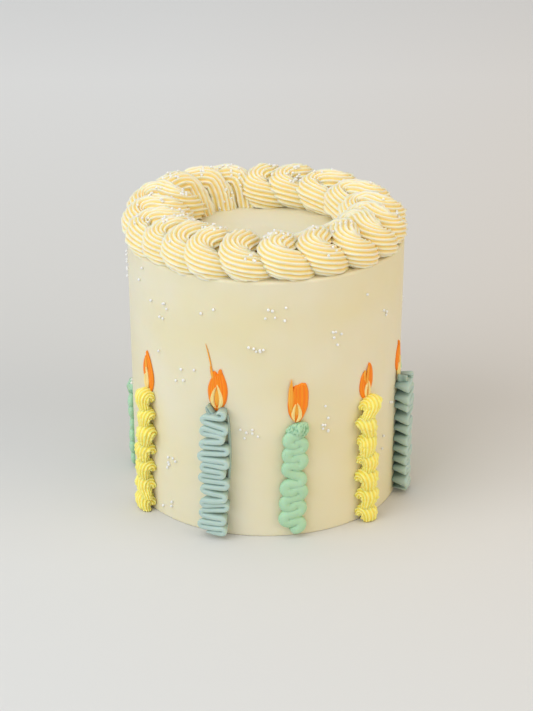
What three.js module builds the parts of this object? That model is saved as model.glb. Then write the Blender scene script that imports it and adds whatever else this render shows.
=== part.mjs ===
// A tall round buttercream cake, about 156 mm across and 176 mm high over its border.
// A rope of piped strands runs round the top edge. Candles piped in buttercream stand
// against the side, one row all the way round, each with a flame spread on above it.
// Millimetres, +Z up, origin at the centre of the flat base. Angles are in degrees,
// 0 at the front (-Y), growing anticlockwise seen from above.
import * as THREE from "three";

// Clear gap between pieces that touch on the real cake.
const GAP = 0.3;

// The iced cake.
const CAKE_HEIGHT = 153;
const CAKE_FOOT_RADIUS = 77.3;
const CAKE_TOP_RADIUS = 78.7;
const CAKE_TOP_EDGE = 1.5;
const CAKE_FOOT_EDGE = 0.8;
const CAKE_SEGMENTS = 60;
const EDGE_STEPS = 2;

// The rope border. Each strand starts where the one before it ends.
const ROPE_START = -170;
const STRAND_WIDTHS = [
  18, 16, 20, 18, 16.5, 18.5, 13, 15, 13, 18.5,
  20, 19.8, 17.2, 17.5, 17, 18, 25, 25, 18, 16,
];
const ROPE_RADIUS = 61;
const ROPE_HALF_WIDTH = 19.3;
const ROPE_HEIGHT = 23;
const ROPE_BASE_Z = 152.6;
const ROPE_LIP = 0.8;
const ROPE_OVERHANG_Z = 151.5;
const ROPE_OVERHANG_START = 79.2;
const ROPE_SQUARENESS = 0.82;
const ROPE_END_SWEEP = 5;
const ROPE_CREST_SLANT = 4;
const STRAND_EDGE_DROP = 0.17;
const STRAND_RIDGE_DEPTH = 0.045;
const STRAND_COLUMNS = 8;
const STRAND_ROWS = 6;

// The candles: where each one stands, its colour, its height and how far it leans.
const CANDLES = [
  { kind: "green", angle: -101.5, height: 58, lean: 0 },
  { kind: "yellow", angle: -58, height: 77, lean: 2.2 },
  { kind: "blue", angle: -20, height: 79, lean: 0.5 },
  { kind: "green", angle: 10.4, height: 72.5, lean: 3.2 },
  { kind: "yellow", angle: 45, height: 77.5, lean: -0.6 },
  { kind: "blue", angle: 75.5, height: 75, lean: 0 },
  { kind: "green", angle: 106, height: 73, lean: 1 },
  { kind: "yellow", angle: 136.5, height: 76, lean: 0 },
  { kind: "blue", angle: 167, height: 78, lean: -1 },
  { kind: "green", angle: 197.5, height: 72, lean: 1 },
  { kind: "yellow", angle: 228, height: 76.5, lean: 0.5 },
];
const CANDLE_FOOT_Z = 0.4;

// Yellow candles: star-tip shells one above the other.
const SHELL_COUNT = 7;
const SHELL_HALF_WIDTH = 6.8;
const SHELL_PROUD = 8;
const SHELL_TAIL = 0.74;
const SHELL_RIDGE_DEPTH = 0.09;
const SHELL_FRONT_STEPS = 6;
const SHELL_RINGS = 3;

// Blue candles: a petal-tip ribbon on edge, folded from side to side.
const RIBBON_FOLDS = 10.5;
const RIBBON_HALF_WIDTH = 9;
const RIBBON_THICKNESS_WALL = 3;
const RIBBON_THICKNESS_EDGE = 2.3;
const RIBBON_PROUD = 9;

// Green candles: a soft round bead laid from side to side.
const BEAD_FOLDS = 7.25;
const BEAD_HALF_WIDTH = 7.8;
const BEAD_RADIUS = 2.4;
const BEAD_PROUD = 6.5;
const BEAD_SIDES = 6;

// Steps round each turn of a folded candle.
const TURN_STEPS = 2;

// Flames: thin smears of icing, each with a paler heart.
const FLAME_HEIGHT = 24;
const FLAME_HALF_WIDTH = 5.6;
const FLAME_RELIEF = 1.5;
const FLAME_BELLY = 0.36;
const FLAME_ROWS = 5;
const HEART_HEIGHT = 15;
const HEART_HALF_WIDTH = 2.4;
const HEART_RELIEF = 0.8;
const HEART_ROWS = 4;

const COLOURS = {
  cake: 0xf0e8c4,
  border: 0xf7edc2,
  yellow: 0xf2df8c,
  blue: 0xa9c4c8,
  green: 0xa2d0b0,
  flame: 0xf27f2c,
  heart: 0xf5d98e,
};

const rad = THREE.MathUtils.degToRad;

/** Icing of one colour. */
function icing(colour) {
  return new THREE.MeshStandardMaterial({ color: colour, roughness: 0.55, metalness: 0 });
}

/** Radius of the cake's side at height z. */
function wallRadius(z) {
  return THREE.MathUtils.lerp(CAKE_FOOT_RADIUS, CAKE_TOP_RADIUS, z / CAKE_HEIGHT);
}

/** Point at a radius, an angle in degrees and a height. */
function polar(radius, angle, z) {
  return new THREE.Vector3(radius * Math.sin(rad(angle)), -radius * Math.cos(rad(angle)), z);
}

/** Point near the side: u along the wall from the given angle, n out from the wall. */
function onWall(angle, u, n, z) {
  const radius = wallRadius(z);
  return polar(radius + n, angle + THREE.MathUtils.radToDeg(u / radius), z);
}

/** Named mesh from points and triangles given as index triples. */
function meshFrom(name, points, triangles, colour) {
  const geometry = new THREE.BufferGeometry();
  geometry.setAttribute("position", new THREE.Float32BufferAttribute(points.flatMap((p) => p.toArray()), 3));
  geometry.setIndex(triangles.flat());
  geometry.computeVertexNormals();
  const mesh = new THREE.Mesh(geometry, icing(colour));
  mesh.name = name;
  return mesh;
}

/** Triangles of the strip between two point rows, which may have different counts. */
function zip(rowA, rowB) {
  const triangles = [];
  let a = 0;
  let b = 0;
  while (a < rowA.length - 1 || b < rowB.length - 1) {
    const nextA = (a + 1) / (rowA.length - 1);
    const nextB = (b + 1) / (rowB.length - 1);
    const stepA = b === rowB.length - 1 || (a < rowA.length - 1 && nextA <= nextB);
    if (stepA) {
      triangles.push([rowA[a], rowA[a + 1], rowB[b]]);
      a += 1;
    } else {
      triangles.push([rowA[a], rowB[b + 1], rowB[b]]);
      b += 1;
    }
  }
  return triangles;
}

/** Closed solid through closed loops of equal count, ends capped about their middles. */
function loft(name, loops, colour) {
  const count = loops[0].length;
  const points = loops.flat();
  const triangles = [];
  for (let row = 0; row < loops.length - 1; row += 1) {
    for (let i = 0; i < count; i += 1) {
      const j = (i + 1) % count;
      const low = row * count;
      const high = low + count;
      triangles.push([low + i, low + j, high + j]);
      triangles.push([low + i, high + j, high + i]);
    }
  }
  const middle = (loop) => loop.reduce((sum, p) => sum.add(p), new THREE.Vector3()).divideScalar(count);
  const first = points.push(middle(loops[0])) - 1;
  const last = points.push(middle(loops[loops.length - 1])) - 1;
  const top = (loops.length - 1) * count;
  for (let i = 0; i < count; i += 1) {
    const j = (i + 1) % count;
    triangles.push([first, j, i]);
    triangles.push([last, top + i, top + j]);
  }
  return meshFrom(name, points, triangles, colour);
}

/** The cake: a turned body with a soft top edge and a flat base. */
function buildCake() {
  const profile = [new THREE.Vector2(0, 0), new THREE.Vector2(CAKE_FOOT_RADIUS - CAKE_FOOT_EDGE, 0)];
  profile.push(new THREE.Vector2(wallRadius(CAKE_FOOT_EDGE), CAKE_FOOT_EDGE));
  for (let i = 0; i <= EDGE_STEPS; i += 1) {
    const turn = (i / EDGE_STEPS) * (Math.PI / 2);
    profile.push(new THREE.Vector2(
      CAKE_TOP_RADIUS - CAKE_TOP_EDGE * (1 - Math.cos(turn)),
      CAKE_HEIGHT - CAKE_TOP_EDGE * (1 - Math.sin(turn)),
    ));
  }
  profile.push(new THREE.Vector2(0, CAKE_HEIGHT));
  const geometry = new THREE.LatheGeometry(profile, CAKE_SEGMENTS);
  geometry.rotateX(Math.PI / 2);
  const mesh = new THREE.Mesh(geometry, icing(COLOURS.cake));
  mesh.name = "cake";
  return mesh;
}

/** Height of a strand's underside: flat on the cake's top, lower where it hangs past the edge. */
function seatHeight(radius) {
  return radius < ROPE_OVERHANG_START ? CAKE_HEIGHT + GAP : ROPE_OVERHANG_Z;
}

/** How far a strand swings round the ring: its ends sweep apart, its crest leans. */
function ropeSwing(turn) {
  return ROPE_END_SWEEP * Math.cos(turn) ** 3 - ROPE_CREST_SLANT * Math.sin(2 * turn);
}

/** One strand of the rope, from its outer foot over the crest to its inner foot. */
function buildStrand(name, start, width) {
  const points = [];
  const top = [];
  const under = [];
  for (let row = 0; row <= STRAND_ROWS; row += 1) {
    const turn = (row / STRAND_ROWS) * Math.PI;
    const across = Math.sign(Math.cos(turn)) * Math.abs(Math.cos(turn)) ** ROPE_SQUARENESS;
    const upward = Math.abs(Math.sin(turn)) ** ROPE_SQUARENESS;
    const place = (t, radius, z) => {
      const inset = THREE.MathUtils.radToDeg((GAP / radius) * (0.5 - t));
      return points.push(polar(radius, start + ropeSwing(turn) + t * width + inset, z)) - 1;
    };
    const surface = (t) => {
      const edge = (2 * t - 1) ** 4;
      const ridge = Math.cos(t * STRAND_COLUMNS * Math.PI);
      const swell = 1 - STRAND_EDGE_DROP * edge - STRAND_RIDGE_DEPTH * (1 + ridge);
      const radius = ROPE_RADIUS + ROPE_HALF_WIDTH * (0.9 + 0.1 * swell) * across;
      return { radius, lift: ROPE_HEIGHT * upward * swell };
    };
    top.push([]);
    for (let column = 0; column <= STRAND_COLUMNS; column += 1) {
      const t = column / STRAND_COLUMNS;
      const { radius, lift } = surface(t);
      const z = Math.max(ROPE_BASE_Z + lift, seatHeight(radius) + ROPE_LIP);
      top[row].push(place(t, radius, z));
    }
    under.push([0, 0.5, 1].map((t) => {
      const { radius } = surface(t);
      return place(t, radius, seatHeight(radius));
    }));
  }
  const triangles = [];
  for (let row = 0; row < STRAND_ROWS; row += 1) {
    const near = [top[row], under[row]];
    const far = [top[row + 1], under[row + 1]];
    triangles.push(...zip(near[0], far[0]));
    triangles.push(...zip(far[1], near[1]));
    triangles.push(...zip(far.map((line) => line[0]), near.map((line) => line[0])));
    triangles.push(...zip(near.map((line) => line.at(-1)), far.map((line) => line.at(-1))));
  }
  triangles.push(...zip(under[0], top[0]));
  triangles.push(...zip(top[STRAND_ROWS], under[STRAND_ROWS]));
  return meshFrom(name, points, triangles, COLOURS.border);
}

/** The whole rope, strand after strand. */
function buildRope() {
  let start = ROPE_START;
  return STRAND_WIDTHS.map((width, i) => {
    const strand = buildStrand(`border_strand_${String(i + 1).padStart(2, "0")}`, start, width);
    start += width;
    return strand;
  });
}

/** Yellow candle: shells that swell at the top and run down to a tail. */
function buildShellCandle(name, { angle, height, lean }) {
  const loops = [];
  const rings = SHELL_COUNT * SHELL_RINGS;
  const pitch = (height - CANDLE_FOOT_Z) / rings;
  for (let ring = 0; ring <= rings; ring += 1) {
    const z = CANDLE_FOOT_Z + ring * pitch;
    const up = (ring % SHELL_RINGS) / SHELL_RINGS;
    const closing = ring === rings ? 0.45 : 1;
    const swell = (SHELL_TAIL + (1 - SHELL_TAIL) * Math.sin(Math.PI * up * 0.75)) * closing;
    const shift = lean * (z / height);
    const loop = [];
    for (let i = 0; i <= SHELL_FRONT_STEPS; i += 1) {
      const turn = (i / SHELL_FRONT_STEPS) * Math.PI;
      const ridge = 1 - (i % 2) * SHELL_RIDGE_DEPTH;
      const u = shift - SHELL_HALF_WIDTH * swell * ridge * Math.cos(turn);
      loop.push(onWall(angle, u, GAP + 1 + (SHELL_PROUD - 1) * swell * ridge * Math.sin(turn), z));
    }
    loop.push(onWall(angle, shift + SHELL_HALF_WIDTH * swell, GAP, z));
    loop.push(onWall(angle, shift, GAP, z));
    loop.push(onWall(angle, shift - SHELL_HALF_WIDTH * swell, GAP, z));
    loops.push(loop);
  }
  return loft(name, loops, COLOURS.yellow);
}

/** Places along a path folded from side to side up the wall, each with its left-hand direction. */
function foldedPath({ height, lean }, folds, halfWidth, halfThickness) {
  const low = CANDLE_FOOT_Z + halfThickness;
  const passes = Math.round(folds * 2);
  const turnRadius = (height - halfThickness - low) / (2 * passes);
  const reach = halfWidth - halfThickness - turnRadius;
  const path = [{ place: new THREE.Vector2(-reach, low), side: new THREE.Vector2(0, 1) }];
  for (let pass = 0; pass < passes; pass += 1) {
    const way = pass % 2 === 0 ? 1 : -1;
    const middle = low + turnRadius * (2 * pass + 1);
    for (let step = 0; step <= TURN_STEPS; step += 1) {
      const turn = Math.PI * (step / TURN_STEPS - 0.5);
      const out = new THREE.Vector2(Math.cos(turn), Math.sin(turn));
      const place = new THREE.Vector2(way * (reach + turnRadius * out.x), middle + turnRadius * out.y);
      path.push({ place, side: new THREE.Vector2(-out.x, -way * out.y) });
    }
  }
  const last = path[path.length - 1];
  path.push({ place: new THREE.Vector2(-last.place.x, last.place.y), side: last.side });
  path.forEach(({ place }) => {
    place.x += lean * (place.y / height);
  });
  return path;
}

/** Blue candle: a folded ribbon standing out from the wall. */
function buildRibbonCandle(name, candle) {
  const path = foldedPath(candle, RIBBON_FOLDS, RIBBON_HALF_WIDTH, RIBBON_THICKNESS_WALL / 2);
  const loops = path.map(({ place, side }) => {
    const corner = (n, offset) => (
      onWall(candle.angle, place.x + side.x * offset, n, place.y + side.y * offset)
    );
    return [
      corner(GAP, RIBBON_THICKNESS_WALL / 2),
      corner(GAP + RIBBON_PROUD, RIBBON_THICKNESS_EDGE / 2),
      corner(GAP + RIBBON_PROUD, -RIBBON_THICKNESS_EDGE / 2),
      corner(GAP, -RIBBON_THICKNESS_WALL / 2),
    ];
  });
  return loft(name, loops, COLOURS.blue);
}

/** Green candle: a soft bead folded from side to side, pressed flat on the wall. */
function buildBeadCandle(name, candle) {
  const path = foldedPath(candle, BEAD_FOLDS, BEAD_HALF_WIDTH, BEAD_RADIUS);
  const loops = path.map(({ place, side }) => {
    const loop = [];
    for (let i = 0; i < BEAD_SIDES; i += 1) {
      const turn = ((i + 0.5) / BEAD_SIDES) * 2 * Math.PI;
      const offset = BEAD_RADIUS * Math.cos(turn);
      const n = GAP + (BEAD_PROUD / 2) * (1 + Math.sin(turn));
      loop.push(onWall(candle.angle, place.x + side.x * offset, n, place.y + side.y * offset));
    }
    return loop;
  });
  return loft(name, loops, COLOURS.green);
}

/** Thin teardrop smear on the wall, standing from one relief to another. */
function buildSmear(name, angle, shift, size, colour) {
  const loops = [];
  for (let row = 0; row <= size.rows; row += 1) {
    const s = row / size.rows;
    const z = size.foot + size.height * s;
    const rising = 0.45 + 0.55 * (s / FLAME_BELLY);
    const falling = (1 - s) / (1 - FLAME_BELLY);
    const belly = Math.min(rising, falling);
    const half = size.halfWidth * (0.08 + 0.92 * belly);
    const outer = size.inner + size.relief * (0.45 + 0.55 * belly);
    loops.push([
      onWall(angle, shift - half, size.inner, z),
      onWall(angle, shift - half * 0.6, outer, z),
      onWall(angle, shift + half * 0.6, outer, z),
      onWall(angle, shift + half, size.inner, z),
    ]);
  }
  return loft(name, loops, colour);
}

/** A flame and its heart above one candle. */
function buildFlame(label, { angle, height, lean }) {
  const foot = height + GAP;
  const flame = buildSmear(`flame_${label}`, angle, lean, {
    foot,
    height: FLAME_HEIGHT,
    halfWidth: FLAME_HALF_WIDTH,
    inner: GAP,
    relief: FLAME_RELIEF,
    rows: FLAME_ROWS,
  }, COLOURS.flame);
  const heart = buildSmear(`flame_heart_${label}`, angle, lean, {
    foot: foot + 1,
    height: HEART_HEIGHT,
    halfWidth: HEART_HALF_WIDTH,
    inner: 2 * GAP + FLAME_RELIEF,
    relief: HEART_RELIEF,
    rows: HEART_ROWS,
  }, COLOURS.heart);
  return [flame, heart];
}

const builders = { yellow: buildShellCandle, blue: buildRibbonCandle, green: buildBeadCandle };

const group = new THREE.Group();
group.name = "birthday_cake";
group.add(buildCake());
group.add(...buildRope());
CANDLES.forEach((candle, i) => {
  const label = String(i + 1).padStart(2, "0");
  group.add(builders[candle.kind](`candle_${candle.kind}_${label}`, candle));
  group.add(...buildFlame(label, candle));
});

export default group;
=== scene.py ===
"""A tall buttercream birthday cake with a piped rope border and piped candles.

Everything is in metres in the frame of the solid model: +Z up, the front towards -Y,
the middle of the cake's flat base at the origin. Angles round the cake are in degrees
from the front, anticlockwise seen from above.
"""
import logging
import math
from dataclasses import dataclass, field
from enum import Enum

import bpy
import numpy as np
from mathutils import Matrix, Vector
from mathutils.bvhtree import BVHTree


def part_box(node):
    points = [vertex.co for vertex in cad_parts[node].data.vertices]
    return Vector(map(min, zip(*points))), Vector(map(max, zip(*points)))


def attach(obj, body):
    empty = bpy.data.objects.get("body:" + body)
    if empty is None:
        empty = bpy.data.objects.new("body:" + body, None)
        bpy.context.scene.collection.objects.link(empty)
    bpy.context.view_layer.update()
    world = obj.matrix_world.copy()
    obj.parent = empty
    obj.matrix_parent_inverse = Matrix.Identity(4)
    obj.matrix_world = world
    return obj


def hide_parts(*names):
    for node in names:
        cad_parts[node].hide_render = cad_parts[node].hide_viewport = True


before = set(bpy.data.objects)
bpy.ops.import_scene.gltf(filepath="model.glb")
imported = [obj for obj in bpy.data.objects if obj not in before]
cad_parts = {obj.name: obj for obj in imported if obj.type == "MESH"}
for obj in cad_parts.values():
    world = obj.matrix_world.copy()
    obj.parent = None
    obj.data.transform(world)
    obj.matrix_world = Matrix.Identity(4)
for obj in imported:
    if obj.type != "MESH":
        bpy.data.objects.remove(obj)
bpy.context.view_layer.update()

MM = 0.001
FULL_TURN = 2.0 * math.pi
Colour = tuple[float, float, float, float]
Triple = tuple[float, float, float]
Pair = tuple[float, float]
log = logging.getLogger("birthday_cake")


# ---------------------------------------------------------------------------
# Colours
# ---------------------------------------------------------------------------


def paint(red: float, green: float, blue: float) -> Colour:
    """Turn a display colour into the linear colour that shaders use.

    Each channel c becomes c / 12.92 below 0.04045, else ((c + 0.055) / 1.055) ** 2.4.

    Args:
        red: red, 0 to 255.
        green: green, 0 to 255.
        blue: blue, 0 to 255.

    Returns:
        Linear red, green and blue, and an alpha of 1.
    """
    channels = np.array([red, green, blue]) / 255.0
    low = channels / 12.92
    high = ((channels + 0.055) / 1.055) ** 2.4
    linear = np.where(channels <= 0.04045, low, high)
    return (float(linear[0]), float(linear[1]), float(linear[2]), 1.0)


class Signal:
    """A shader socket that can be added, multiplied and so on, each step a Math node."""

    def __init__(self, sheet: "Sheet", socket: bpy.types.NodeSocket) -> None:
        """Wrap one output socket of a material's sheet of nodes."""
        self.sheet = sheet
        self.socket = socket

    def _math(self, operation: str, first: object, second: object) -> "Signal":
        """Add one Math node.

        Args:
            operation: the Math node's operation.
            first: its first value or signal.
            second: its second value or signal.

        Returns:
            The result as a signal.
        """
        node = self.sheet.node("ShaderNodeMath", {"operation": operation}, {0: first, 1: second})
        return Signal(self.sheet, node.outputs[0])

    def __add__(self, other: object) -> "Signal":
        """Sum with a number or signal."""
        return self._math("ADD", self, other)

    __radd__ = __add__

    def __rsub__(self, other: object) -> "Signal":
        """Difference from a number or signal."""
        return self._math("SUBTRACT", other, self)

    def __mul__(self, other: object) -> "Signal":
        """Product with a number or signal."""
        return self._math("MULTIPLY", self, other)

    __rmul__ = __mul__

    def limited(self, low: float, high: float) -> "Signal":
        """Map the range low to high onto 0 to 1, held at both ends."""
        inputs = {"Value": self, "From Min": low, "From Max": high}
        node = self.sheet.node("ShaderNodeMapRange", {"clamp": True}, inputs)
        return Signal(self.sheet, node.outputs["Result"])


class Sheet:
    """The sheet of shader nodes of one material."""

    def __init__(self, name: str) -> None:
        """Make an empty material with a surface output."""
        self.material = bpy.data.materials.new(name)
        self.material.use_nodes = True
        self.tree = self.material.node_tree
        self.tree.nodes.clear()
        self.output = self.tree.nodes.new("ShaderNodeOutputMaterial")

    def node(self, kind: str, settings: dict, inputs: dict) -> bpy.types.Node:
        """Add one node.

        Args:
            kind: the node's type name.
            settings: its properties, set before its sockets.
            inputs: values, signals or sockets by socket name or number.

        Returns:
            The new node.
        """
        node = self.tree.nodes.new(kind)
        for name, value in settings.items():
            setattr(node, name, value)
        for key, value in inputs.items():
            socket = node.inputs[key]
            source = value.socket if isinstance(value, Signal) else value
            if isinstance(source, bpy.types.NodeSocket):
                self.tree.links.new(source, socket)
            else:
                socket.default_value = source
        return node

    def attribute(self, name: str) -> Signal:
        """Read a number that the mesh carries at each point."""
        node = self.node("ShaderNodeAttribute", {"attribute_name": name}, {})
        return Signal(self, node.outputs["Fac"])

    def place(self, scale: Triple = (1.0, 1.0, 1.0)) -> bpy.types.NodeSocket:
        """Object coordinates, stretched by a scale along each axis."""
        source = self.node("ShaderNodeTexCoord", {}, {})
        node = self.node("ShaderNodeMapping", {}, {"Vector": source.outputs["Object"], "Scale": scale})
        return node.outputs["Vector"]

    def noise(self, scale: float, detail: float = 2.0, stretch: Triple = (1.0, 1.0, 1.0)) -> Signal:
        """Cloudy noise.

        Args:
            scale: how many clouds fit in a metre.
            detail: how many finer layers it has.
            stretch: scale along each axis before the noise.

        Returns:
            The noise, about 0 to 1.
        """
        inputs = {"Vector": self.place(stretch), "Scale": scale, "Detail": detail}
        return Signal(self, self.node("ShaderNodeTexNoise", {}, inputs).outputs[0])

    def cells(self, scale: float) -> Signal:
        """Distance to the nearest of scattered points, this many to a metre."""
        node = self.node("ShaderNodeTexVoronoi", {}, {"Vector": self.place(), "Scale": scale})
        return Signal(self, node.outputs["Distance"])

    def mix(self, factor: object, first: object, second: object) -> bpy.types.NodeSocket:
        """Mix two colours.

        Args:
            factor: how much of the second, a number or signal.
            first: a colour or a colour socket.
            second: a colour or a colour socket.

        Returns:
            The mixed colour's socket.
        """
        node = self.node("ShaderNodeMix", {"data_type": "RGBA"}, {0: factor, 6: first, 7: second})
        return node.outputs[2]

    def bump(self, height: Signal, distance: float, normal: object = None) -> bpy.types.NodeSocket:
        """Turn a height into a normal.

        Args:
            height: the height signal.
            distance: what a height of 1 stands for, in metres.
            normal: an earlier bump's normal, if any.

        Returns:
            The normal's socket.
        """
        inputs = {"Height": height, "Distance": distance}
        if normal is not None:
            inputs["Normal"] = normal
        return self.node("ShaderNodeBump", {}, inputs).outputs["Normal"]

    def surface(self, inputs: dict) -> None:
        """Finish the material with one Principled surface."""
        shader = self.node("ShaderNodeBsdfPrincipled", {"subsurface_method": "RANDOM_WALK"}, inputs)
        self.tree.links.new(shader.outputs[0], self.output.inputs["Surface"])


# ---------------------------------------------------------------------------
# Finishes
# ---------------------------------------------------------------------------


@dataclass(frozen=True)
class Icing:
    """Buttercream of one colour, with painted shade deeper in its grooves, soft and faintly grainy."""

    name: str
    crest: Colour
    # painted shade: the colour the icing takes in grooves, dips and against the wall
    groove: Colour
    shade: Colour
    roughness: float = 0.48
    glow: float = 0.25
    grain: float = 0.00006
    pits: float = 0.0

    def material(self) -> bpy.types.Material:
        """Build the icing's shader.

        The colour runs from crest to groove with the mesh's groove number, a painted
        shade in the grooves, and drifts towards the shade colour in soft clouds. The bump
        is fine grain, plus small round pits where the icing has them, painted half way to
        the groove colour as shade.

        Returns:
            The finished material.
        """
        sheet = Sheet(self.name)
        depth = sheet.attribute("groove")
        drift = sheet.noise(90.0, 3.0).limited(0.35, 0.75)
        colour = sheet.mix(drift * 0.45, self.crest, self.shade)
        # painted shade in the grooves, by the mesh's groove number
        colour = sheet.mix(depth, colour, self.groove)
        fine = sheet.noise(1400.0, 3.0)
        soft = sheet.noise(260.0, 2.0)
        normal = sheet.bump(fine * 0.5 + soft, self.grain)
        if self.pits > 0.0:
            hollow = 1.0 - sheet.cells(420.0).limited(0.0, 0.16)
            some = sheet.noise(170.0, 1.0).limited(0.56, 0.64)
            pit = hollow * some
            normal = sheet.bump(1.0 - pit, self.pits, normal)
            # painted shade in the pits
            colour = sheet.mix(pit * 0.5, colour, self.groove)
        sheet.surface({
            "Base Color": colour,
            "Roughness": 0.92 * self.roughness + 0.16 * self.roughness * soft,
            "Normal": normal,
            "Subsurface Weight": self.glow,
            "Subsurface Radius": (1.0, 0.62, 0.28),
            "Subsurface Scale": 0.0025,
            "Specular IOR Level": 0.4,
        })
        return sheet.material


@dataclass(frozen=True)
class SmoothedSide:
    """The cake's scraped coat: ivory, satin, with faint scraper marks and ripples."""

    name: str = "ivory_coat"
    base: Colour = paint(233, 226, 202)
    warm: Colour = paint(231, 220, 179)

    def material(self) -> bpy.types.Material:
        """Build the coat's shader: upright scraper lines, wide ripples, a fine grain."""
        sheet = Sheet(self.name)
        drift = sheet.noise(16.0, 3.0).limited(0.3, 0.7)
        colour = sheet.mix(drift, self.base, self.warm)
        streaks = sheet.noise(240.0, 2.0, (1.0, 1.0, 0.05))
        rings = sheet.noise(300.0, 2.0, (0.06, 0.06, 1.0))
        ripple = sheet.noise(28.0, 2.0)
        normal = sheet.bump(streaks + rings, 0.00005)
        normal = sheet.bump(ripple, 0.0012, normal)
        sheet.surface({
            "Base Color": colour,
            "Roughness": 0.5 + 0.12 * streaks,
            "Normal": normal,
            "Subsurface Weight": 0.2,
            "Subsurface Radius": (1.0, 0.62, 0.28),
            "Subsurface Scale": 0.003,
            "Specular IOR Level": 0.35,
        })
        return sheet.material


@dataclass(frozen=True)
class PearlGloss:
    """White sugar pearls with a soft shine."""

    name: str = "sugar_pearl"

    def material(self) -> bpy.types.Material:
        """Build the pearl's shader."""
        sheet = Sheet(self.name)
        cloud = sheet.noise(700.0, 1.0)
        colour = sheet.mix(cloud.limited(0.3, 0.7), paint(246, 245, 243), paint(233, 232, 230))
        sheet.surface({"Base Color": colour, "Roughness": 0.25 + 0.12 * cloud, "Coat Weight": 0.3})
        return sheet.material


@dataclass(frozen=True)
class StudioFloor:
    """Plain pale paper under the cake, a little darker behind it as painted shade, brighter further off as
    painted light, and warmer at the right as painted warm light.
    """

    name: str = "pale_floor"
    near: Colour = paint(220, 220, 219)
    # painted shade: the darker strip just behind the cake
    shade_band: Colour = paint(213, 211, 207)
    # painted light: the brighter paper further off
    far: Colour = paint(237, 236, 234)
    # painted warm light, reflected to the right of and behind the cake
    warm: Colour = paint(226, 210, 194)

    def material(self) -> bpy.types.Material:
        """Build the floor's shader.

        Going away from the front the paper passes from near to a darker strip of painted
        shade at the cake's depth, and on to brighter painted light further off. To the
        right of and behind the cake it takes on the warm colour, a painted warm reflected
        light, by about half.

        Returns:
            The finished material.
        """
        sheet = Sheet(self.name)
        parts = sheet.node("ShaderNodeSeparateXYZ", {}, {"Vector": sheet.place()})
        aside = Signal(sheet, parts.outputs["X"])
        away = Signal(sheet, parts.outputs["Y"])
        # painted shade at the cake's depth
        colour = sheet.mix(away.limited(-0.11, 0.1), self.near, self.shade_band)
        # painted light further off
        colour = sheet.mix(away.limited(0.14, 0.9), colour, self.far)
        # painted warm light to the right of and behind the cake
        warm_light = aside.limited(-0.1, 0.4) * away.limited(-0.5, 0.1) * (1.0 - 0.55 * away.limited(0.25, 1.3))
        colour = sheet.mix(warm_light * 0.6, colour, self.warm)
        cloud = sheet.noise(3.0, 2.0)
        sheet.surface({"Base Color": colour, "Roughness": 0.8 + 0.1 * cloud})
        return sheet.material


class Flavour(Enum):
    """The icings that the piped pieces are made of."""

    # Each icing lists its crest colour, its groove colour of painted shade, then the tone it drifts to in
    # clouds.
    BORDER = Icing(
        "cream_icing", paint(242, 240, 224), paint(250, 213, 84), paint(242, 234, 202), glow=0.32)
    YELLOW = Icing(
        "yellow_icing", paint(255, 245, 152), paint(252, 220, 56), paint(254, 238, 122), glow=0.38)
    BLUE = Icing(
        "blue_icing", paint(183, 205, 196), paint(112, 142, 138), paint(170, 194, 185))
    GREEN = Icing(
        "green_icing", paint(177, 216, 180), paint(106, 164, 116), paint(168, 208, 168), pits=0.0004)
    ORANGE = Icing(
        "orange_icing", paint(255, 150, 12), paint(255, 118, 2), paint(255, 136, 6), 0.42, 0.06)
    AMBER = Icing(
        "amber_icing", paint(252, 190, 72), paint(246, 140, 24), paint(250, 172, 48), 0.42, 0.08)
    GOLD = Icing(
        "gold_icing", paint(254, 240, 176), paint(244, 190, 74), paint(252, 226, 140), 0.42, 0.12)


class Pantry:
    """Keeps one material for each finish, made when it is first asked for."""

    def __init__(self) -> None:
        """Start with no materials."""
        self._made: dict[str, bpy.types.Material] = {}

    def get(self, finish: object) -> bpy.types.Material:
        """Return the finish's material."""
        recipe = finish.value if isinstance(finish, Flavour) else finish
        if recipe.name not in self._made:
            self._made[recipe.name] = recipe.material()
        return self._made[recipe.name]


# ---------------------------------------------------------------------------
# Mesh making
# ---------------------------------------------------------------------------


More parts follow.
